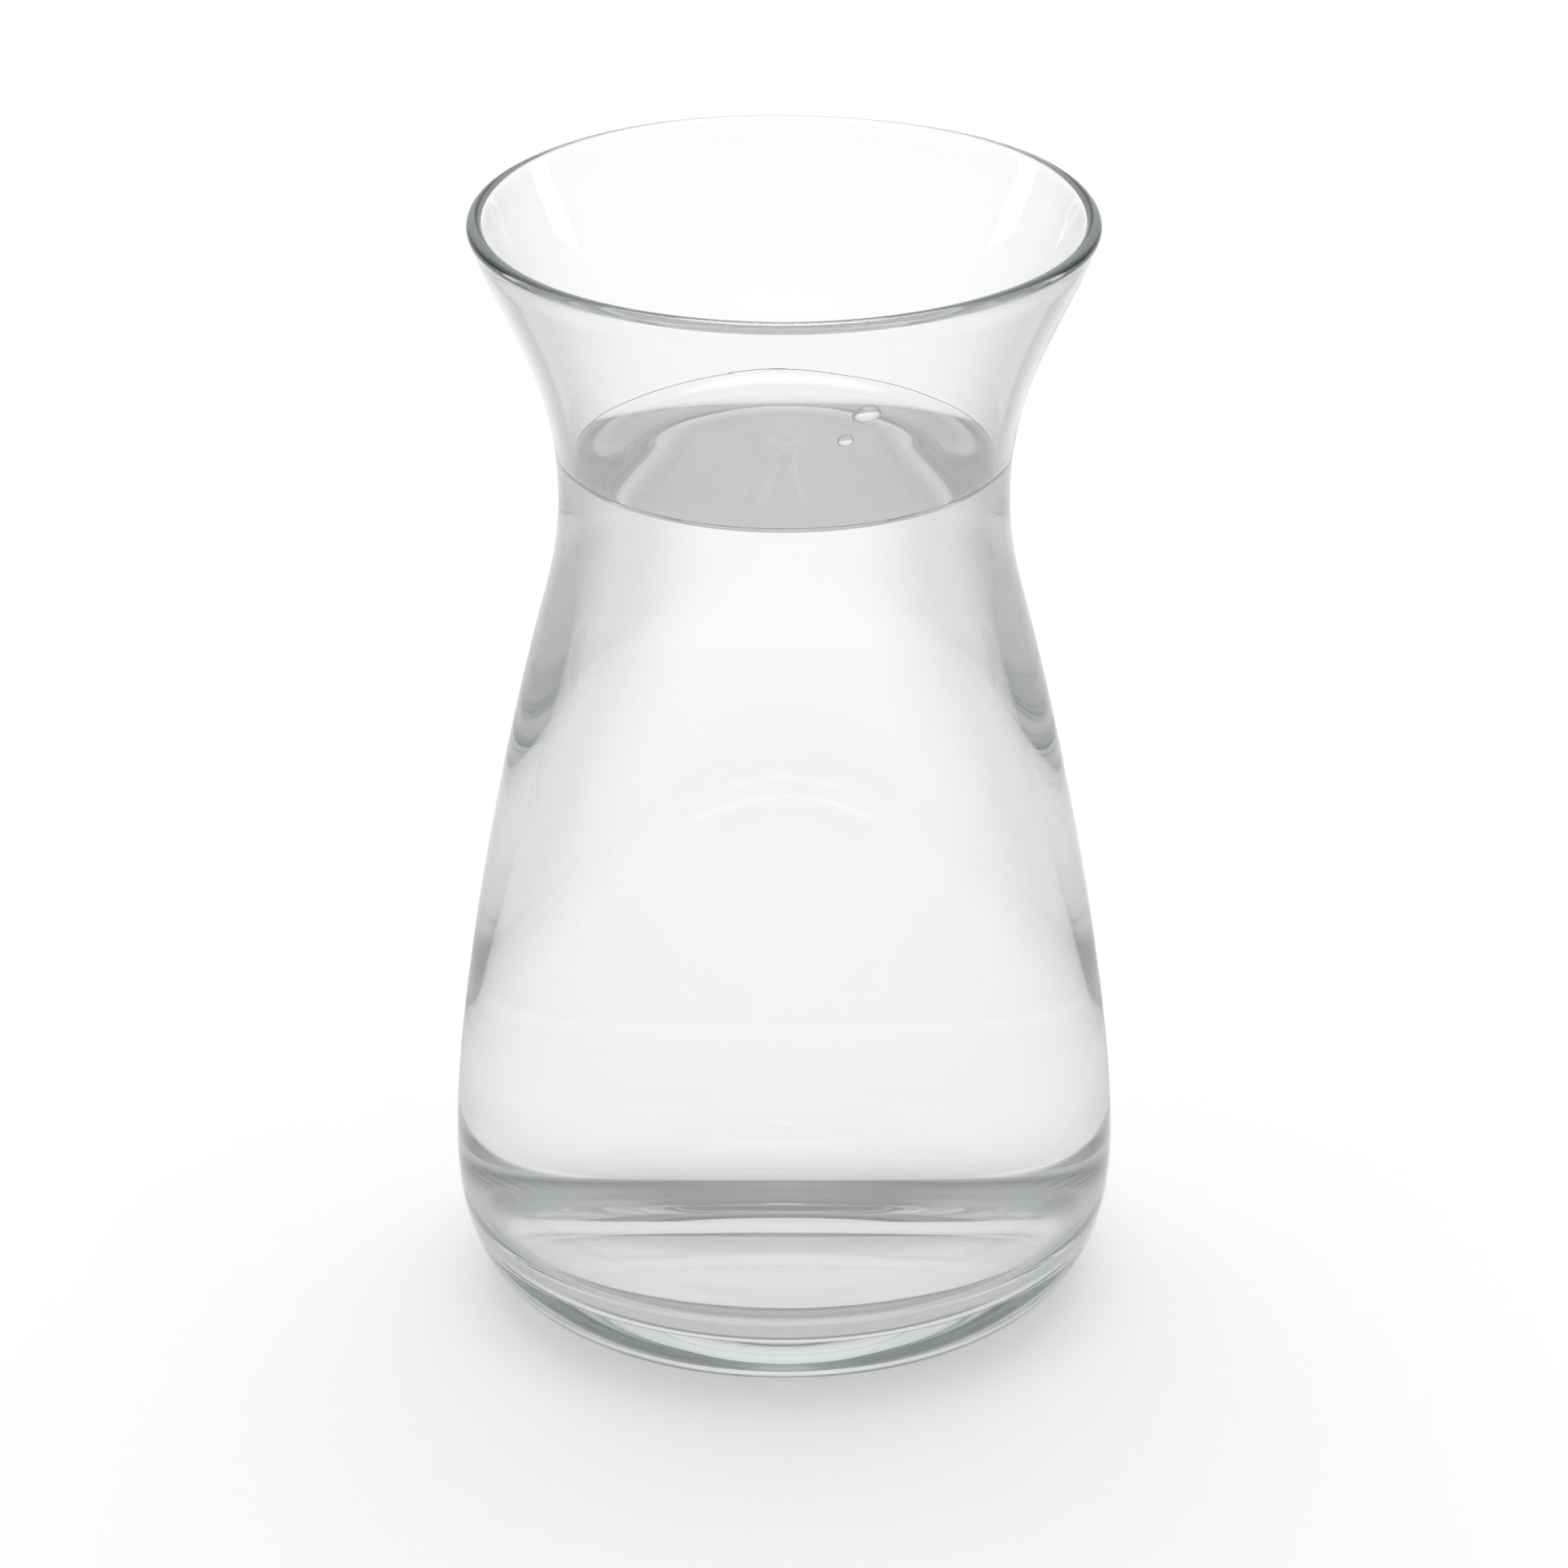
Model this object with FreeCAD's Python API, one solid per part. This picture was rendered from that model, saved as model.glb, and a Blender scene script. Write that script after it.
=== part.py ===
import FreeCAD, Part
import math
import os

# A clear glass gathering vase: one moulded piece of glass with a flared mouth, a narrow neck and a
# bell-shaped body, and the water it holds. Millimetres, +Z up. The origin is the centre of the foot
# on the table plane. Each outline is drawn as radius and height, then turned about the Z axis.

# Heights of the glass
height = 250.0
waist_height = 187.0
belly_height = 32.0

# Outside radii of the glass
rim_radius = 67.5
waist_radius = 48.8
belly_radius = 73.5
foot_radius = 57.0

# Glass thickness
neck_wall = 3.4
belly_wall = 4.0
floor_height = 11.0

# The neck is a round hollow; the wall leans outward above it and inward below it, in degrees
neck_arc_radius = 86.0
flare_lean = 21.0
shoulder_lean = -15.0
lip_lean = 19.0

# How far each curve keeps the direction that it starts with
flare_reach = 13.5
lip_reach = 12.0
shoulder_reach = 43.0
belly_reach_up = 30.5
belly_reach_down = 19.0
foot_reach = 11.0
foot_rise = 20.0

# The hollow's floor, and the round corner between it and the wall
floor_radius = 36.0
floor_reach = 24.0
corner_height = 40.0
corner_reach = 20.0

# Underside: a flat bearing ring round a shallow push-up
ring_width = 8.0
push_up_height = 3.5

# Water
water_level = 195.0
water_gap = 0.05


def along(lean):
    """One millimetre up a wall that leans outward by this angle."""
    return (math.sin(math.radians(lean)), math.cos(math.radians(lean)))


def inward(lean):
    """One millimetre into the glass, square to that wall."""
    up = along(lean)
    return (-up[1], up[0])


def moved(start, direction, distance):
    return (start[0] + direction[0] * distance, start[1] + direction[1] * distance)


def point(place):
    return FreeCAD.Vector(place[0], 0.0, place[1])


def curve(*places):
    """A smooth curve from the first place to the last, drawn out towards the two between."""
    shape = Part.BezierCurve()
    shape.setPoles([point(place) for place in places])
    return shape.toShape()


def line(start, end):
    return Part.makeLine(point(start), point(end))


def arc(start, middle, end):
    return Part.Arc(point(start), point(middle), point(end)).toShape()


def turned(edges):
    """The solid that a closed outline makes when it turns about the Z axis."""
    outline = Part.Wire(Part.__sortEdges__(edges))
    return Part.Face(outline).revolve(FreeCAD.Vector(0, 0, 0), FreeCAD.Vector(0, 0, 1), 360)


def lip_place(direction):
    """A place on the rounded lip, in this direction from the middle of its thickness."""
    half = neck_wall / 2
    return moved((rim_radius - half, height - half), direction, half)


def neck_place(lean, depth):
    """The place on the neck's round hollow with this lean, at this depth inside the glass."""
    centre = (waist_radius + neck_arc_radius, waist_height)
    return moved(centre, inward(lean), neck_arc_radius + depth)


def side(belly, reach_up, depth, lip):
    """Body, neck and flare, from the belly up to the lip, at this depth inside the glass."""
    shoulder = neck_place(shoulder_lean, depth)
    flare = neck_place(flare_lean, depth)
    body = curve(
        belly,
        moved(belly, along(0.0), reach_up),
        moved(shoulder, along(shoulder_lean), -shoulder_reach),
        shoulder,
    )
    neck = arc(shoulder, neck_place(0.0, depth), flare)
    mouth = curve(
        flare,
        moved(flare, along(flare_lean), flare_reach),
        moved(lip, along(lip_lean), -lip_reach),
        lip,
    )
    return [body, neck, mouth]


def outside():
    """Heel and side of the glass, from the bearing ring's outer edge up to the lip."""
    foot = (foot_radius, 0.0)
    belly = (belly_radius, belly_height)
    heel = curve(
        foot,
        moved(foot, along(90.0 - foot_rise), foot_reach),
        moved(belly, along(0.0), -belly_reach_down),
        belly,
    )
    outward = moved((0.0, 0.0), inward(lip_lean), -1.0)
    return [heel] + side(belly, belly_reach_up, 0.0, lip_place(outward))


def hollow(gap):
    """Floor, corner and side of the hollow, drawn smaller by the gap all round."""
    floor = (0.0, floor_height + gap)
    floor_edge = moved(floor, along(90.0), floor_radius)
    corner = (belly_radius - belly_wall - gap, corner_height)
    round_corner = curve(
        floor_edge,
        moved(floor_edge, along(90.0), floor_reach),
        moved(corner, along(0.0), -corner_reach),
        corner,
    )
    lip = moved(lip_place(inward(lip_lean)), inward(lip_lean), gap)
    reach_up = belly_reach_up + belly_height - corner_height
    return [line(floor, floor_edge), round_corner] + side(corner, reach_up, neck_wall + gap, lip)


def underside():
    """The push-up under the base and the flat ring that it stands on."""
    inner_radius = foot_radius - ring_width
    sphere_radius = (inner_radius**2 + push_up_height**2) / (2 * push_up_height)
    half_way = inner_radius / 2
    drop = sphere_radius - math.sqrt(sphere_radius**2 - half_way**2)
    push_up = arc((0.0, push_up_height), (half_way, push_up_height - drop), (inner_radius, 0.0))
    return [push_up, line((inner_radius, 0.0), (foot_radius, 0.0))]


def glass_vessel():
    """The one piece of glass, with a rounded lip, a nearly even wall and a heavy base."""
    into_glass = inward(lip_lean)
    outward = moved((0.0, 0.0), into_glass, -1.0)
    lip = arc(lip_place(outward), lip_place(along(lip_lean)), lip_place(into_glass))
    axis = line((0.0, push_up_height), (0.0, floor_height))
    return turned(outside() + [lip] + hollow(0.0) + [axis] + underside())


def water():
    """The hollow filled up to the water level, a hair clear of the glass."""
    walls = hollow(water_gap)
    brim = walls[-1].Vertexes[-1].Point
    surface = line((brim.x, brim.z), (0.0, brim.z))
    axis = line((0.0, brim.z), (0.0, floor_height + water_gap))
    brimful = turned(walls + [surface, axis])
    width = 2 * belly_radius
    corner = FreeCAD.Vector(-width / 2, -width / 2, 0.0)
    up_to_level = Part.makeBox(width, width, water_level, corner)
    return brimful.common(up_to_level).Solids[0]


os.makedirs("parts", exist_ok=True)
for name, solid in (("glass_vessel", glass_vessel()), ("water", water())):
    solid.exportStep("parts/" + name + ".step")
    print(name, "valid", solid.isValid(), "volume_cm3", round(solid.Volume / 1000, 1))
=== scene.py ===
"""A clear glass gathering vase, filled with water to the neck, on a pale studio sweep.

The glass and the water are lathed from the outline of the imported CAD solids, so their size and place
are the frame's own. Everything is in metres.
"""

import math
import random

import bpy
import numpy as np
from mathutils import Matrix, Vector


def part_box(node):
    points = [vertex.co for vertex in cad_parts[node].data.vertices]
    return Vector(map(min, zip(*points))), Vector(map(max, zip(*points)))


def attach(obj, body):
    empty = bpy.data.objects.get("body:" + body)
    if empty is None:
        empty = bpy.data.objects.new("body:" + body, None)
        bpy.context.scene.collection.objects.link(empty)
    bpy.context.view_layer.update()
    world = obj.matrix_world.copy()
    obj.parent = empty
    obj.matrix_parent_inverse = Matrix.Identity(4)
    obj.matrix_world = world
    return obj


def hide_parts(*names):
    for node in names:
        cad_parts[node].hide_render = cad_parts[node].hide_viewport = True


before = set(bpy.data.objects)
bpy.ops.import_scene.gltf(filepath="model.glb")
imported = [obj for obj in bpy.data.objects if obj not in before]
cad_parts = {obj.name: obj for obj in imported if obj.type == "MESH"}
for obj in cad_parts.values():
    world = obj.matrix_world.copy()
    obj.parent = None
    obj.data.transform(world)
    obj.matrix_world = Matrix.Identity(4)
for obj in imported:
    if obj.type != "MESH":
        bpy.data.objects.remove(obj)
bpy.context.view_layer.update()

MM = 0.001
GLASS_LOW, GLASS_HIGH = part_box("glass_vessel")
RIM_Z = GLASS_HIGH.z
VASE_HEIGHT = RIM_Z - GLASS_LOW.z
WATER_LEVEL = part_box("water")[1].z

# What counts as a side or an underside of a CAD solid, by how far a face's normal points outwards or up,
# and what counts as on the axis or on the table
SIDE_OUTWARD = 0.02
UNDER_UPWARD = -0.5
ON_AXIS = 0.05 * MM
ON_TABLE = 0.01 * MM
LEAST_FACE = 1e-6 * MM**2

# How the CAD solids' facets are eased out: the least distance between the points that are used, the step
# of the smooth curve through them, and how far along it a bend is spread
POINTS_APART = 0.4 * MM
CURVE_STEP = 0.1 * MM
BEND_SPREAD = 3.0 * MM
OUTLINE_APART = 0.03 * MM

# How finely the glass is divided: columns round it, and rows that leave its outline by no more than the sag
# and grow further apart with their distance from a detail
SEGMENTS = 240
ROW_FINEST = 0.25 * MM
ROW_COARSEST = 3.0 * MM
ROW_SAG = 0.0025 * MM
ROW_GROWTH = 0.2

# Details of the moulded glass: its lip, its outside, and the ring it stands on. The outside's wave grows
# from nothing to full between two distances from the lip, and between two heights.
LIP_BEAD = 0.30 * MM
LIP_BEAD_REACH = 2.6 * MM
LIP_WAVE = 0.16 * MM
LIP_WAVE_SEED = 13
OUTER_WAVE = 0.03 * MM
OUTER_WAVE_SEED = 12
OUTER_WAVE_OFF_LIP = (3 * MM, 16 * MM)
OUTER_WAVE_HEIGHTS = (6 * MM, 30 * MM)
FOOT_ROUND_OFF = 1.2 * MM
FOOT_EDGE_Z = 0.5 * MM
FOOT_RING_REACH = 9.0 * MM
FOOT_NOTCHES = 90
FOOT_NOTCH_DEPTH = 0.25 * MM
FOOT_NOTCH_LENGTH = 4.8 * MM
FOOT_NOTCH_INSET = 4.0 * MM
FOOT_NOTCH_TOP = 0.4 * MM

# The water climbs the glass in a meniscus, to the row of the glass that lies within the slack of its contact
# height. The rings of its top are these far in from the glass, closest together where it climbs.
MENISCUS_RISE = 2.4 * MM
MENISCUS_REACH = 2.3 * MM
CONTACT_Z = WATER_LEVEL + MENISCUS_RISE
CONTACT_SLACK = 0.2 * MM
CLIMBING_RINGS = MM * np.geomspace(0.12, 9.0, 22)
LEVEL_RINGS = MM * np.linspace(11.0, 40.0, 12)

# Water reaches a little into the glass, so that no air shows between: outwards everywhere but at the axis,
# and downwards from its floor up to where its wall stands upright
SKIN_OVERLAP = 0.08 * MM
OVERLAP_RADII = (0.0, 5 * MM)
OVERLAP_HEIGHTS = (12 * MM, 30 * MM)

# Drops of water on the inside of the neck, each as degrees round from the front towards +X, then height,
# width, length and thickness
DROPS = (
    (18.0, 226.0 * MM, 6.0 * MM, 5.2 * MM, 1.7 * MM),
    (14.0, 219.5 * MM, 3.4 * MM, 3.6 * MM, 1.0 * MM),
)
DROP_RINGS = 14
DROP_COLUMNS = 48
DROP_TAPER = 0.22
DROP_SAG = 0.35

# Clear things: how strongly they bend light, and the trace of iron's green that glass takes on over a long
# way through it
WHITE = (1.0, 1.0, 1.0, 1.0)
GLASS_INDEX = 1.52
WATER_INDEX = 1.333
GLASS_TINT = (0.78, 0.87, 0.84, 1.0)
GLASS_TINT_DENSITY = 3.0

# Unevenness of their skins: features a metre, and how far they stand out
MOULD_RIPPLE = (30.0, 0.03 * MM)
GLASS_SKIN = (260.0, 0.0006 * MM)
WATER_RIPPLE = (45.0, 0.012 * MM)

# Wear: finger smudges where their noise is high, and a foot rubbed dull up to a small height
SMUDGE_SCALE = 38.0
SMUDGE_FROM, SMUDGE_TO = 0.52, 0.80
SMUDGE_ROUGHNESS = 0.035
RUBBED_ROUGHNESS = 0.30
RUBBED_FROM, RUBBED_TO = 0.15 * MM, 0.9 * MM

# The studio's light
SWEEP_GLOW = 0.40
AIR_GLOW = 0.46
OVERHEAD_WATTS = 12.5
GLINT = 10.0
EXPOSURE = -0.2

# The grey tent round the vase. Its floor and wall cover only a share of each direction, which the pairs give
# against degrees from straight behind the vase, and its lid covers the same share all round. The cloth fades
# out near the vase's axis, so that the table round the foot stays clear.
TENT_SHADE = ((0.0, 0.0), (6.0, 0.0), (20.0, 0.28), (42.0, 0.58), (75.0, 0.78), (180.0, 0.7))
TENT_LID_COVER = 0.9
TENT_FLOOR_GREY = (0.28, 0.28, 0.31)
TENT_WALL_GREY = (0.46, 0.46, 0.48)
TENT_LID_GREY = (0.14, 0.14, 0.145)
TENT_RADIUS = 1.1
TENT_HEIGHT = 1.3
TENT_CLEAR_TO, TENT_FULL_FROM = 0.078, 0.15


# ---------------------------------------------------------------- outlines read off the CAD solids

def outline_points(node, wanted):
    """Radius and height of a CAD node's vertices on the faces that wanted(outwardness, upness) picks."""
    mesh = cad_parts[node].data
    picked = set()
    for face in mesh.polygons:
        if face.area < LEAST_FACE:
            continue
        for index in face.vertices:
            place = mesh.vertices[index].co
            radius = math.hypot(place.x, place.y)
            outwardness = 0.0
            if radius > ON_AXIS:
                outwardness = (face.normal.x * place.x + face.normal.y * place.y) / radius
            if wanted(outwardness, face.normal.z):
                picked.add((round(radius, 7), round(place.z, 7)))
    return sorted(picked, key=lambda p: (p[1], p[0]))


def thinned(points, least):
    """The same line of points, without those closer than least to the one before."""
    kept = [points[0]]
    for place in points[1:]:
        if math.dist(place, kept[-1]) >= least:
            kept.append(place)
    kept[-1] = points[-1]
    return np.array(kept)


def arc_lengths(points):
    """How far along the line of points each point is."""
    return np.concatenate([[0.0], np.cumsum(np.hypot(*np.diff(points, axis=0).T))])


def smooth_curve(points, step):
    """A natural cubic spline through the points, read every step along it."""
    chord = arc_lengths(points)
    gaps = np.diff(chord)
    count = len(points)
    matrix = np.eye(count)
    right = np.zeros((count, 2))
    for i in range(1, count - 1):
        matrix[i, i - 1 : i + 2] = gaps[i - 1], 2 * (gaps[i - 1] + gaps[i]), gaps[i]
        rise_after = (points[i + 1] - points[i]) / gaps[i]
        rise_before = (points[i] - points[i - 1]) / gaps[i - 1]
        right[i] = 6 * (rise_after - rise_before)
    bend = np.linalg.solve(matrix, right)
    where = np.linspace(0.0, chord[-1], max(int(chord[-1] / step), 2))
    left = np.clip(np.searchsorted(chord, where, side="right") - 1, 0, count - 2)
    gap = gaps[left][:, None]
    before = (where - chord[left])[:, None]
    after = gap - before
    return (
        (bend[left] * after**3 + bend[left + 1] * before**3) / (6 * gap)
        + (points[left] / gap - bend[left] * gap / 6) * after
        + (points[left + 1] / gap - bend[left + 1] * gap / 6) * before
    )


def relaxed(curve, step, spread):
    """The curve with its bends eased over spread, and its two ends left as they are."""
    half = int(3 * spread / step)
    weights = np.exp(-0.5 * (np.arange(-half, half + 1) * step / spread) ** 2)
    weights /= weights.sum()
    eased = np.stack([np.convolve(axis, weights, mode="valid") for axis in curve.T], axis=1)
    full = curve.copy()
    full[half : half + len(eased)] = eased
    along = np.arange(len(curve)) * step
    from_end = np.minimum(along, along[::-1])
    share = faded(from_end - half * step, 0.0, 3 * spread)[:, None]
    return curve * (1 - share) + full * share


def faded(value, start, end):
    """0 at start and 1 at end, smoothly."""
    share = np.clip((value - start) / (end - start), 0.0, 1.0)
    return share * share * (3 - 2 * share)


def rounded(start, corner, end, count):
    """A rounded corner: count places on the curve from start to end that the corner pulls."""
    t = np.linspace(0.0, 1.0, count)[:, None]
    start, corner, end = np.array(start), np.array(corner), np.array(end)
    return (1 - t) ** 2 * start + 2 * t * (1 - t) * corner + t**2 * end


def eased_wall(wanted):
    """The outline of one side of the CAD glass from the bottom up, with its facets eased out."""
    points = thinned(outline_points("glass_vessel", wanted), POINTS_APART)
    return relaxed(smooth_curve(points, CURVE_STEP), CURVE_STEP, BEND_SPREAD)


def glass_outline():
    """The glass's outline, from the axis under the base, up the outside, over the lip and down inside."""
    outside = eased_wall(lambda out, up: out > SIDE_OUTWARD)
    inside = eased_wall(lambda out, up: out < -SIDE_OUTWARD and up > UNDER_UPWARD)[::-1]
    under = outline_points("glass_vessel", lambda out, up: up < UNDER_UPWARD and out <= SIDE_OUTWARD)
    push_up = thinned(sorted(p for p in under if p[1] > ON_TABLE), POINTS_APART)
    ring_inner = min(p[0] for p in under if p[1] < ON_TABLE)
    ring_outer = outside[0][0]
    outside = outside[outside[:, 1] > FOOT_EDGE_Z]
    parts = [
        np.array([[0.0, push_up[0][1]]]),
        smooth_curve(push_up, CURVE_STEP)[::4],
        rounded(push_up[-1], (ring_inner, 0.0), (ring_inner + FOOT_ROUND_OFF, 0.0), count=8),
        rounded((ring_outer - FOOT_ROUND_OFF, 0.0), (ring_outer, 0.0), outside[0], count=10),
        outside[1:],
        inside[1:],
        np.array([[0.0, inside[-1][1]]]),
    ]
    return thinned(np.concatenate(parts), OUTLINE_APART)


def graded(outline, details):
    """Places along the outline, closest together where it bends most and near each detail."""
    length = arc_lengths(outline)
    along = np.gradient(outline, length, axis=0)
    turn = np.unwrap(np.arctan2(along[:, 1], along[:, 0]))
    bend = np.convolve(abs(np.gradient(turn, length)), np.ones(9) / 9, mode="same")
    apart = np.sqrt(8 * ROW_SAG / np.maximum(bend, 1e-3))
    marks = [length[np.argmin(np.hypot(*(outline - place).T))] for place in details]
    for mark in marks:
        apart = np.minimum(apart, ROW_FINEST + ROW_GROWTH * abs(length - mark))
    apart = np.clip(apart, ROW_FINEST, ROW_COARSEST)
    steps = np.concatenate([[0.0], np.cumsum(np.diff(length) / apart[1:])])
    stops = np.interp(np.linspace(0.0, steps[-1], math.ceil(steps[-1]) + 1), steps, length)
    for mark in marks:
        stops[np.argmin(abs(stops - mark))] = mark
    return np.stack([np.interp(stops, length, axis) for axis in outline.T], axis=1)


def outward_normals(outline):
    """Unit normals out of the glass, for an outline that runs up the outside and down the inside."""
    along = np.gradient(outline, axis=0)
    along /= np.hypot(*along.T)[:, None]
    return np.stack([along[:, 1], -along[:, 0]], axis=1)


# ---------------------------------------------------------------- lathe

def waves(seed, angle, height, tallest, count=14):
    """Smooth ups and downs, about -1 to 1, that join up round the vase."""
    draw = random.Random(seed)
    total = np.zeros(np.broadcast(angle, height).shape)
    for _ in range(count):
        turns = draw.choice((1, 1, 2, 2, 3, 4, 5))
        phase, lift = draw.uniform(0, 2 * math.pi), draw.uniform(0, 2 * math.pi)
        rate = 2 * math.pi / draw.uniform(tallest / 4, tallest)
        total = total + np.cos(turns * angle + phase) * np.cos(rate * height + lift)
    return total * 1.3 / math.sqrt(count)


def closed_mesh(name, shells):
    """A piece of closed shells, each a grid of rows of places whose first and last rows close to a pole."""
    places, faces = [], []
    for shell in shells:
        rows, columns = shell.shape[:2]
        first = len(places)
        ring = [first + 1 + i * columns for i in range(rows - 2)]
        last = first + 1 + (rows - 2) * columns
        places.append(shell[0].mean(axis=0))
        places.extend(shell[1:-1].reshape(-1, 3))
        places.append(shell[-1].mean(axis=0))
        for j in range(columns):
            k = (j + 1) % columns
            faces.append((first, ring[0] + k, ring[0] + j))
            faces.append((last, ring[-1] + j, ring[-1] + k))
            for low, high in zip(ring, ring[1:]):
                faces.append((low + j, low + k, high + k, high + j))
    return shown_mesh(name, [tuple(place) for place in places], faces)


def shown_mesh(name, places, faces):
    """A smooth mesh object in the scene."""
    mesh = bpy.data.meshes.new(name)
    mesh.from_pydata(places, [], faces)
    mesh.shade_smooth()
    return shown(name, mesh)


def shown(name, data):
    """A new object in the scene."""
    thing = bpy.data.objects.new(name, data)
    bpy.context.scene.collection.objects.link(thing)
    return thing


def lathe_mesh(name, radius, height, angles):
    """A closed piece from rows of radius and height, a column for each angle, with its ends on the axis."""
    across, back = radius * np.cos(angles), radius * np.sin(angles)
    return closed_mesh(name, [np.stack([across, back, height], axis=-1)])


# ---------------------------------------------------------------- glass

def glass_rows():
    """The outline as graded rows, and the radius at which the foot's edge leaves the table."""
    outline = glass_outline()
    crown = int(np.argmax(outline[:, 1]))
    outside, inside = outline[:crown], outline[crown:]
    contact = inside[int(np.argmin(abs(inside[:, 1] - CONTACT_Z)))]
    foot_radius = outside[outside[:, 1] < FOOT_EDGE_Z, 0].max()
    foot = outside[int(np.argmin(np.hypot(outside[:, 0] - foot_radius, outside[:, 1] - FOOT_EDGE_Z)))]
    ring_inner = (foot[0] - FOOT_RING_REACH, 0.0)
    return graded(outline, [outline[crown], contact, foot, ring_inner]), foot[0]


def glass_surface():
    """Radius and height of every place on the glass, the angles of its columns, and which rows are inside.

    The lip's bead and wave, the outside's slight waviness and the foot's notches are part of it."""
    line, foot_radius = glass_rows()
    normal = outward_normals(line)
    crown = int(np.argmax(line[:, 1]))
    angles = 2 * math.pi * np.arange(SEGMENTS) / SEGMENTS
    angle, height = angles[None, :], line[:, 1:2]
    inside = (np.arange(len(line)) > crown)[:, None]
    from_crown = abs(arc_lengths(line) - arc_lengths(line)[crown])[:, None]
    below_lip = faded(from_crown, *OUTER_WAVE_OFF_LIP)
    above_base = faded(height, *OUTER_WAVE_HEIGHTS)
    outer_wave = OUTER_WAVE * waves(OUTER_WAVE_SEED, angle, height, VASE_HEIGHT)
    push = outer_wave * ~inside * below_lip * above_base
    push = push + LIP_BEAD / 2 * np.exp(-((from_crown / LIP_BEAD_REACH) ** 2)) * np.ones_like(angle)
    radius = line[:, 0:1] + push * normal[:, 0:1]
    height = height + push * normal[:, 1:2]
    lip = np.exp(-((from_crown / (3 * LIP_BEAD_REACH)) ** 2))
    height = height + LIP_WAVE * waves(LIP_WAVE_SEED, angle, 0.0 * height, VASE_HEIGHT) * lip
    height = np.minimum(height, RIM_Z + LIP_BEAD)
    height = height + foot_notches(line, foot_radius, angle)
    return radius, height, angles, inside[:, 0]


def foot_notches(line, foot_radius, angle):
    """How far each place is lifted by the fine notches that run round the ring the vase stands on."""
    notch = 0.5 - 0.5 * np.cos(FOOT_NOTCHES * angle)
    off_middle = (line[:, 0:1] - (foot_radius - FOOT_NOTCH_INSET)) / (FOOT_NOTCH_LENGTH / 2)
    on_ring = np.exp(-(off_middle**4)) * (line[:, 1:2] < FOOT_NOTCH_TOP)
    return FOOT_NOTCH_DEPTH * notch * on_ring


def build_glass(surface):
    """The vase itself, in one piece."""
    radius, height, angles, _ = surface
    return lathe_mesh("vase_glass", radius, height, angles)


# ---------------------------------------------------------------- water

def build_water(surface):
    """The water: it fills the glass's own hollow, and its top climbs the wall in a meniscus."""
    radius, height, angles, inside = surface
    wet = inside & (height.mean(axis=1) <= CONTACT_Z + CONTACT_SLACK)
    side_r, side_z = radius[wet][::-1], height[wet][::-1]
    side_r = side_r + SKIN_OVERLAP * faded(side_r, *OVERLAP_RADII)
    side_z = side_z - SKIN_OVERLAP * (1 - faded(side_z, *OVERLAP_HEIGHTS))
    side_r[0] = 0.0
    edge_r, edge_z = side_r[-1], side_z[-1]
    depths = np.concatenate([CLIMBING_RINGS, LEVEL_RINGS])
    top_r = [edge_r - depth for depth in depths]
    top_z = [WATER_LEVEL + (edge_z - WATER_LEVEL) * math.exp(-depth / MENISCUS_REACH) for depth in depths]
    top_r.append(0.0 * edge_r)
    top_z.append(WATER_LEVEL + 0.0 * edge_z)
    all_r = np.concatenate([side_r, np.array(top_r)])
    all_z = np.concatenate([side_z, np.array(top_z)])
    return lathe_mesh("vase_water", all_r, all_z, angles)


def build_drops(surface):
    """Drops that hang on the inside of the neck, each fuller below than above."""
    radius, height, _, inside = surface
    wall = np.stack([radius[inside].mean(axis=1), height[inside].mean(axis=1)], axis=1)[::-1]
    shells = [drop_shell(wall, *drop) for drop in DROPS]
    return closed_mesh("neck_drops", shells)


def drop_shell(wall, turn, level, width, long, thick):
    """The grid of one drop: rings from its middle on the glass out to its edge, and back over its face."""
    length = arc_lengths(wall)
    off_wall = outward_normals(wall) * -1
    round_it = 2 * math.pi * np.arange(DROP_COLUMNS) / DROP_COLUMNS
    out = np.sin(0.5 * math.pi * np.linspace(0.0, 1.0, DROP_RINGS))[:, None]
    spread = np.concatenate([out, out[-2::-1]])
    full = np.concatenate([0 * out, np.sqrt(1 - out[-2::-1] ** 2)])
    up = spread * np.sin(round_it)
    across = spread * np.cos(round_it) * width / 2 * (1 - DROP_TAPER * up)
    stand = thick * full * (1 - DROP_SAG * up) - SKIN_OVERLAP * (full == 0)
    along = np.interp(level, wall[:, 1], length) + up * long / 2
    wall_r, wall_z = (np.interp(along, length, axis) for axis in wall.T)
    lean_r, lean_z = (np.interp(along, length, axis) for axis in off_wall.T)
    far = wall_r + stand * lean_r
    angle = math.radians(turn - 90) - across / wall_r
    return np.stack([far * np.cos(angle), far * np.sin(angle), wall_z + stand * lean_z], axis=-1)


# ---------------------------------------------------------------- material nodes

def new_material(name):
    """A material, its nodes and links, and its shader."""
    material = bpy.data.materials.new(name)
    material.use_nodes = True
    nodes, links = material.node_tree.nodes, material.node_tree.links
    return material, nodes, links, nodes["Principled BSDF"]


def bare_material(name):
    """A material whose surface is still to be linked, and its nodes and links."""
    material, nodes, links, shader = new_material(name)
    nodes.remove(shader)
    return material, nodes, links


def object_place(nodes):
    """The place on the object."""
    return nodes.new("ShaderNodeTexCoord").outputs["Object"]


def object_axes(nodes, links):
    """The X, Y and Z of the place on the object, by name."""
    split = nodes.new("ShaderNodeSeparateXYZ")
    links.new(object_place(nodes), split.inputs["Vector"])
    return split.outputs


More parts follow.
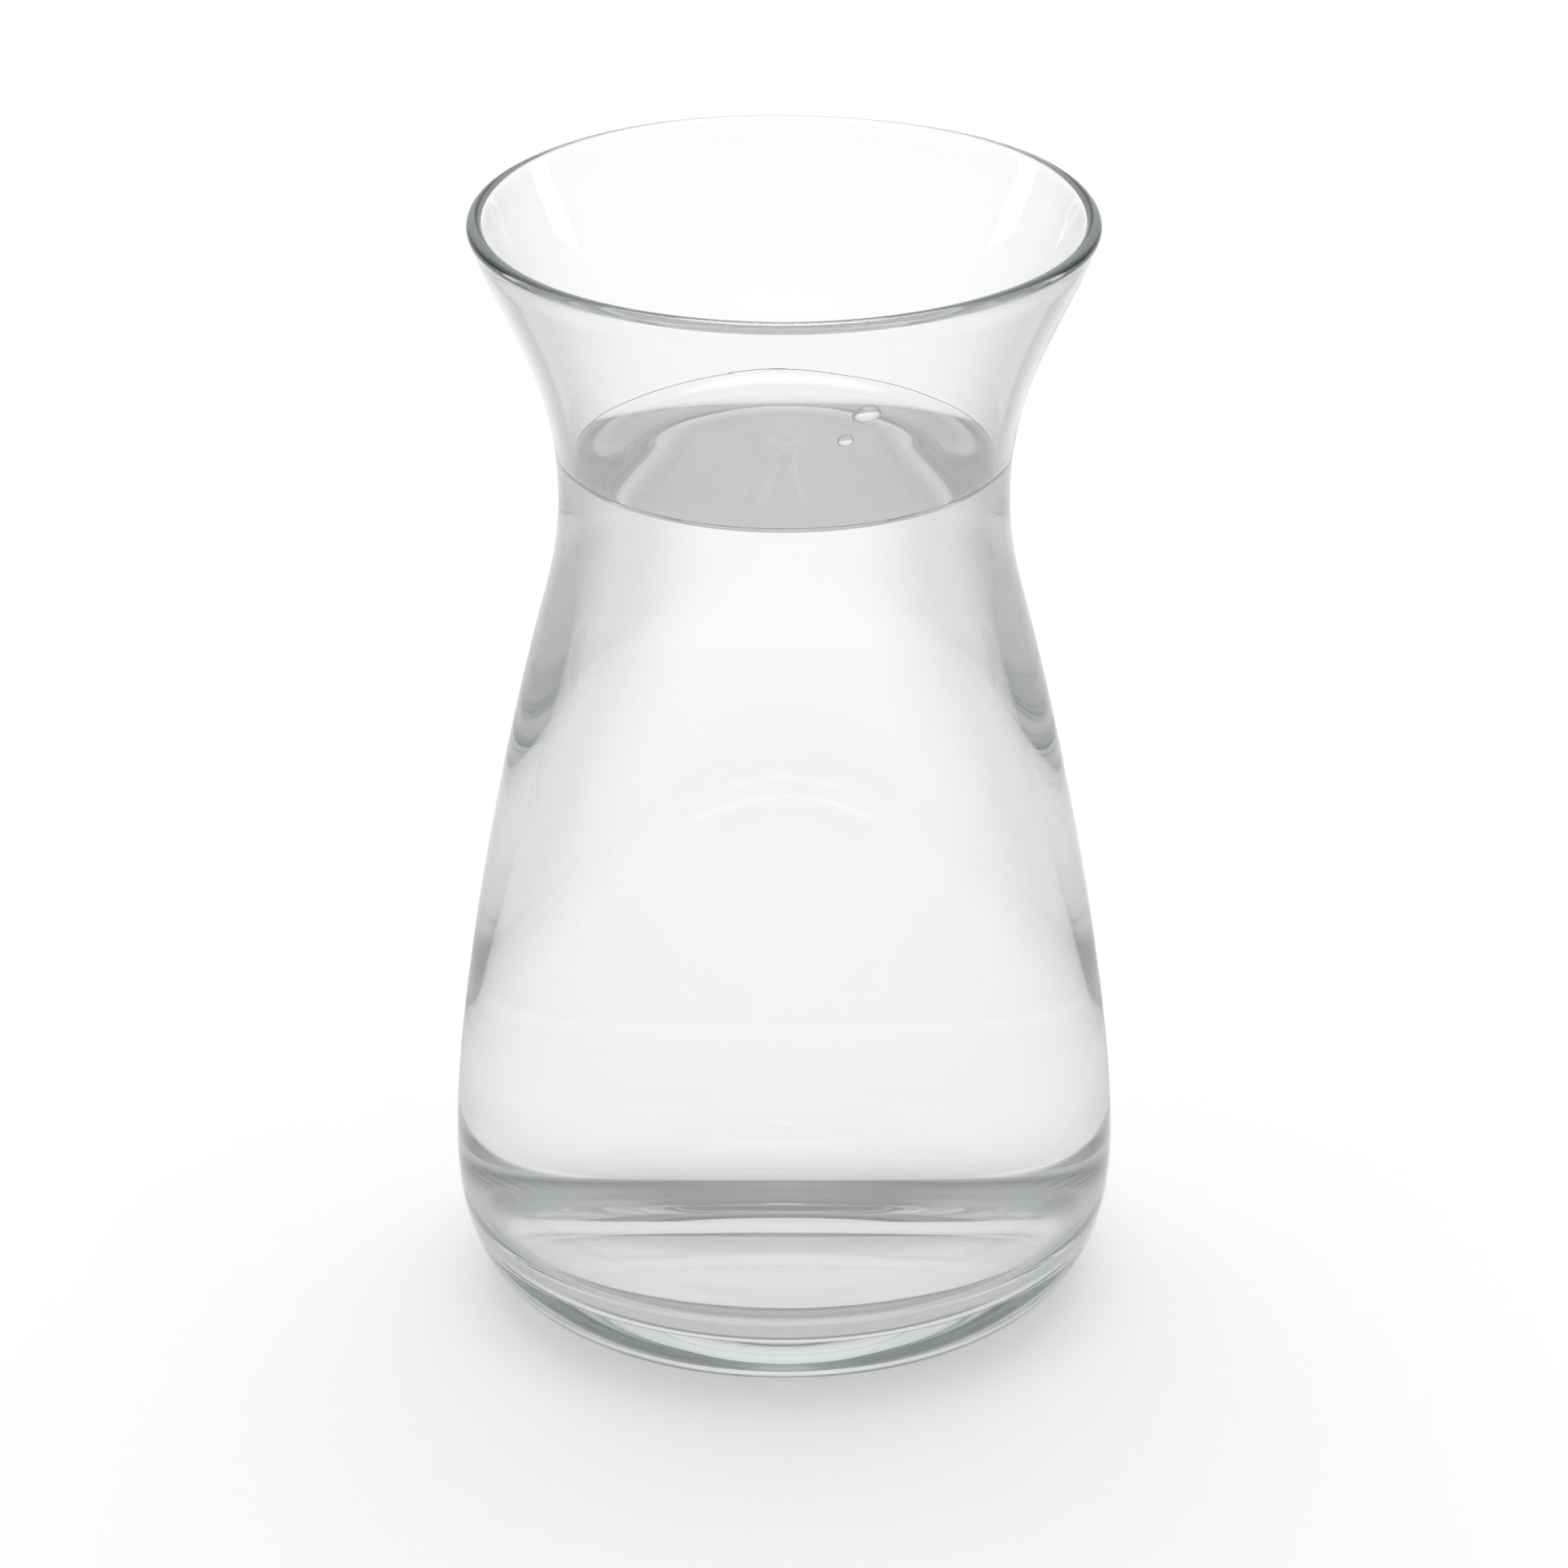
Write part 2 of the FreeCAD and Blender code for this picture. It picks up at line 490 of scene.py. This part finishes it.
def arithmetic(nodes, links, operation, *values):
    """The result of a sum on values, each of which is a node's output or a plain number."""
    node = nodes.new("ShaderNodeMath")
    node.operation = operation
    for socket, value in zip(node.inputs, values):
        if isinstance(value, bpy.types.NodeSocket):
            links.new(value, socket)
        else:
            socket.default_value = value
    return node.outputs["Value"]


def ranged(nodes, links, value, start, end, low, high):
    """value, taken smoothly from the range start to end to the range low to high."""
    span = nodes.new("ShaderNodeMapRange")
    span.interpolation_type = "SMOOTHSTEP"
    for name, number in zip(("From Min", "From Max", "To Min", "To Max"), (start, end, low, high)):
        span.inputs[name].default_value = number
    links.new(value, span.inputs["Value"])
    return span.outputs["Result"]


def noise(nodes, links, place, scale, detail, squeeze=(1.0, 1.0, 1.0)):
    """The value of a noise of scale features a metre, squeezed along the object's axes."""
    mapping = nodes.new("ShaderNodeMapping")
    mapping.inputs["Scale"].default_value = squeeze
    links.new(place, mapping.inputs["Vector"])
    texture = nodes.new("ShaderNodeTexNoise")
    texture.inputs["Scale"].default_value = scale
    texture.inputs["Detail"].default_value = detail
    links.new(mapping.outputs["Vector"], texture.inputs["Vector"])
    return texture.outputs["Fac"]


def bumped(nodes, links, height, distance, under=None):
    """The normal of a skin that stands out by distance where height is 1, over the skin under it."""
    bump = nodes.new("ShaderNodeBump")
    bump.inputs["Strength"].default_value = 1.0
    bump.inputs["Distance"].default_value = distance
    links.new(height, bump.inputs["Height"])
    if under:
        links.new(under, bump.inputs["Normal"])
    return bump.outputs["Normal"]


# ---------------------------------------------------------------- glass and water materials

def make_clear(shader, index):
    """Makes a shader pass all light, bending it by index."""
    shader.inputs["Base Color"].default_value = WHITE
    shader.inputs["Transmission Weight"].default_value = 1.0
    shader.inputs["IOR"].default_value = index
    shader.inputs["Roughness"].default_value = 0.0


def clear_glass():
    """Clear soda glass: long faint ripples from the mould, a fine skin, smudges, and a foot rubbed dull."""
    material, nodes, links, shader = new_material("clear_glass")
    make_clear(shader, GLASS_INDEX)
    place = object_place(nodes)
    ripple = noise(nodes, links, place, MOULD_RIPPLE[0], detail=1.0, squeeze=(1.0, 1.0, 0.3))
    skin = noise(nodes, links, place, GLASS_SKIN[0], detail=2.0)
    rippled = bumped(nodes, links, ripple, MOULD_RIPPLE[1])
    links.new(bumped(nodes, links, skin, GLASS_SKIN[1], rippled), shader.inputs["Normal"])
    smears = noise(nodes, links, place, SMUDGE_SCALE, detail=4.0)
    smudged = ranged(nodes, links, smears, SMUDGE_FROM, SMUDGE_TO, 0.0, SMUDGE_ROUGHNESS)
    height = object_axes(nodes, links)["Z"]
    rubbed = ranged(nodes, links, height, RUBBED_FROM, RUBBED_TO, RUBBED_ROUGHNESS, 0.0)
    links.new(arithmetic(nodes, links, "MAXIMUM", smudged, rubbed), shader.inputs["Roughness"])
    absorption = nodes.new("ShaderNodeVolumeAbsorption")
    absorption.inputs["Color"].default_value = GLASS_TINT
    absorption.inputs["Density"].default_value = GLASS_TINT_DENSITY
    links.new(absorption.outputs["Volume"], nodes["Material Output"].inputs["Volume"])
    return material


def still_water():
    """Water at rest, with the least unevenness in its skin."""
    material, nodes, links, shader = new_material("still_water")
    make_clear(shader, WATER_INDEX)
    ripple = noise(nodes, links, object_place(nodes), WATER_RIPPLE[0], detail=1.0)
    links.new(bumped(nodes, links, ripple, WATER_RIPPLE[1]), shader.inputs["Normal"])
    return material


# ---------------------------------------------------------------- studio

def aim_at(thing, place, target):
    """Puts a light, card or camera at place, looking at target."""
    thing.location = place
    thing.rotation_mode = "QUATERNION"
    thing.rotation_quaternion = (Vector(target) - Vector(place)).to_track_quat("-Z", "Y")


def photo_camera():
    """The viewpoint: about 20 degrees above the rim, from 1.4 m away."""
    distance, above_rim, aim_height = 1.40, 0.496, 0.47 * VASE_HEIGHT
    data = bpy.data.cameras.new("camera")
    data.sensor_width = 36.0
    data.lens = 160.0
    data.clip_start, data.clip_end = 0.05, 50.0
    camera = shown("camera", data)
    aim_at(camera, (0.0, -distance, RIM_Z + above_rim), (0.0, 0.0, aim_height))
    bpy.context.scene.camera = camera
    return camera


def studio_rig(camera):
    """An empty at the vase's foot that always faces the camera, so that the light suits every view."""
    rig = shown("studio", None)
    facing = rig.constraints.new("LOCKED_TRACK")
    facing.target = camera
    facing.track_axis = "TRACK_NEGATIVE_Y"
    facing.lock_axis = "LOCK_Z"
    return rig


def set_mesh(rig, name, places, faces, material):
    """A piece of the set, which isn't part of the object."""
    thing = shown_mesh(name, places, faces)
    thing.data.materials.append(material)
    thing.parent = rig
    return thing


def pale_sweep():
    """White acrylic, lit a little from below as on a light table."""
    material, _, _, shader = new_material("pale_sweep")
    shader.inputs["Base Color"].default_value = (0.85, 0.85, 0.85, 1.0)
    shader.inputs["Roughness"].default_value = 0.7
    shader.inputs["Specular IOR Level"].default_value = 0.2
    shader.inputs["Emission Color"].default_value = WHITE
    shader.inputs["Emission Strength"].default_value = SWEEP_GLOW
    return material


def sweep(rig):
    """A pale floor that curves up into a wall behind the vase."""
    width, front, back, bend, top, steps = 10.0, -4.0, 3.0, 1.2, 5.0, 24
    profile = [(front, 0.0), (-1.0, 0.0), (0.0, 0.0), (1.0, 0.0)]
    for i in range(steps + 1):
        turn = math.pi / 2 * i / steps
        profile.append((back - bend + bend * math.sin(turn), bend - bend * math.cos(turn)))
    profile.append((back, top))
    places = [(side * width / 2, y, z) for y, z in profile for side in (-1, 1)]
    faces = [(2 * i, 2 * i + 1, 2 * i + 3, 2 * i + 2) for i in range(len(profile) - 1)]
    return set_mesh(rig, "sweep", places, faces, pale_sweep())


def shade_cover(nodes, links, across, back):
    """The share of a direction that the tent covers, as TENT_SHADE says."""
    turn = arithmetic(nodes, links, "ARCTAN2", across, back)
    off_back = arithmetic(nodes, links, "ABSOLUTE", turn)
    ramp = nodes.new("ShaderNodeValToRGB")
    ramp.color_ramp.interpolation = "EASE"
    while len(ramp.color_ramp.elements) < len(TENT_SHADE):
        ramp.color_ramp.elements.new(0.5)
    for element, (degrees, cover) in zip(ramp.color_ramp.elements, TENT_SHADE):
        element.position = degrees / 180.0
        element.color = (cover, cover, cover, 1.0)
    links.new(arithmetic(nodes, links, "DIVIDE", off_back, math.pi), ramp.inputs["Fac"])
    return ramp.outputs["Color"]


def grey_cloth(name, grey, all_round):
    """Thin grey cloth that lets some of the light behind it through."""
    material, nodes, links = bare_material(name)
    axes = object_axes(nodes, links)
    across, back = axes["X"], axes["Y"]
    back_squared = arithmetic(nodes, links, "MULTIPLY", back, back)
    squared = arithmetic(nodes, links, "MULTIPLY_ADD", across, across, back_squared)
    away = arithmetic(nodes, links, "SQRT", squared)
    off_foot = ranged(nodes, links, away, TENT_CLEAR_TO, TENT_FULL_FROM, 0.0, 1.0)
    cover = TENT_LID_COVER if all_round else shade_cover(nodes, links, across, back)
    cloth = nodes.new("ShaderNodeEmission")
    cloth.inputs["Color"].default_value = (*grey, 1.0)
    mix = nodes.new("ShaderNodeMixShader")
    links.new(arithmetic(nodes, links, "MULTIPLY", cover, off_foot), mix.inputs["Fac"])
    links.new(nodes.new("ShaderNodeBsdfTransparent").outputs["BSDF"], mix.inputs[1])
    links.new(cloth.outputs["Emission"], mix.inputs[2])
    links.new(mix.outputs["Shader"], nodes["Material Output"].inputs["Surface"])
    return material


def shade(rig, name, rings, grey, all_round=False):
    """A band of cloth between two rings, each a radius and a height, that shows only in glass and water."""
    columns = 96
    places, faces = [], []
    for radius, z in rings:
        for i in range(columns):
            turn = 2 * math.pi * i / columns
            places.append((radius * math.sin(turn), radius * math.cos(turn), z))
    for i in range(columns):
        k = (i + 1) % columns
        faces.append((i, k, k + columns, i + columns))
    cloth = set_mesh(rig, name, places, faces, grey_cloth(name, grey, all_round))
    cloth.visible_camera = False
    cloth.visible_diffuse = False
    cloth.visible_shadow = False


def shade_tent(rig):
    """Grey cloth at both sides of the vase and over it, which draws the edges of clear things."""
    floor_z, floor_hole, lid_hole = 0.0004, 0.076, 0.02
    floor_edge, wall_top = (TENT_RADIUS, floor_z), (TENT_RADIUS, TENT_HEIGHT)
    shade(rig, "tent_floor", [(floor_hole, floor_z), floor_edge], TENT_FLOOR_GREY)
    shade(rig, "tent_wall", [floor_edge, wall_top], TENT_WALL_GREY)
    shade(rig, "tent_lid", [wall_top, (lid_hole, TENT_HEIGHT)], TENT_LID_GREY, all_round=True)


def card_light(name, width, height, glow):
    """Light that is brightest in a card's middle and fades out before its edges."""
    material, nodes, links = bare_material(name)
    axes = object_axes(nodes, links)
    strength = glow
    for axis, size in (("X", width), ("Y", height)):
        off_middle = arithmetic(nodes, links, "ABSOLUTE", axes[axis])
        fade = ranged(nodes, links, off_middle, 0.1 * size, 0.5 * size, 1.0, 0.0)
        strength = arithmetic(nodes, links, "MULTIPLY", strength, fade)
    light = nodes.new("ShaderNodeEmission")
    links.new(strength, light.inputs["Strength"])
    links.new(light.outputs["Emission"], nodes["Material Output"].inputs["Surface"])
    return material


def glint_card(rig, name, place, target, width, height, glow):
    """A bright card that shows only as a glint on glass and water."""
    corners = [(x * width / 2, y * height / 2, 0.0) for x, y in ((-1, -1), (1, -1), (1, 1), (-1, 1))]
    card = set_mesh(rig, name, corners, [(0, 1, 2, 3)], card_light(name, width, height, glow))
    aim_at(card, place, target)
    card.visible_camera = False
    card.visible_diffuse = False
    card.visible_transmission = False
    card.visible_shadow = False


def glint_cards(rig):
    """A card overhead, and a tall one at each side."""
    rim, body = (0.0, 0.0, RIM_Z), (0.0, 0.0, 0.12)
    glint_card(rig, "overhead_card", (0.0, 0.15, 1.2), rim, width=1.1, height=0.9, glow=GLINT)
    for side in (-1, 1):
        glint_card(rig, "side_card", (side * 0.85, 0.30, 0.45), body, width=0.22, height=0.9, glow=GLINT / 2)


def softbox(rig):
    """The main light, a wide soft one above and a little behind the vase."""
    light = bpy.data.lights.new("overhead", "AREA")
    light.shape = "SQUARE"
    light.size = 1.6
    light.energy = OVERHEAD_WATTS
    box = shown("overhead", light)
    box.parent = rig
    aim_at(box, (0.0, 0.3, 1.6), (0.0, 0.0, 0.0))
    box.visible_camera = False


def world_light():
    """Even light from all round."""
    world = bpy.data.worlds.new("studio_air")
    bpy.context.scene.world = world
    world.use_nodes = True
    background = world.node_tree.nodes["Background"]
    background.inputs["Color"].default_value = WHITE
    background.inputs["Strength"].default_value = AIR_GLOW


def render_settings():
    """Light is followed through many turns inside the glass: cut short, it would leave the rim black."""
    bounces = 96
    scene = bpy.context.scene
    scene.cycles.use_denoising = True
    scene.cycles.max_bounces = bounces
    scene.cycles.transmission_bounces = bounces
    scene.cycles.glossy_bounces = bounces
    scene.cycles.transparent_max_bounces = 32
    scene.cycles.diffuse_bounces = 6
    scene.cycles.caustics_reflective = True
    scene.cycles.caustics_refractive = True
    scene.cycles.blur_glossy = 0.3
    scene.cycles.sample_clamp_indirect = 6.0
    scene.view_settings.view_transform = "Standard"
    scene.view_settings.exposure = EXPOSURE


# ---------------------------------------------------------------- the vase, its water and the studio

surface = glass_surface()
glass = build_glass(surface)
glass.data.materials.append(clear_glass())
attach(glass, "root")
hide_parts("glass_vessel")

water_material = still_water()
water = build_water(surface)
water.data.materials.append(water_material)
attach(water, "root")
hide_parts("water")

drops = build_drops(surface)
drops.data.materials.append(water_material)
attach(drops, "root")

rig = studio_rig(photo_camera())
sweep(rig)
shade_tent(rig)
glint_cards(rig)
softbox(rig)
world_light()
render_settings()
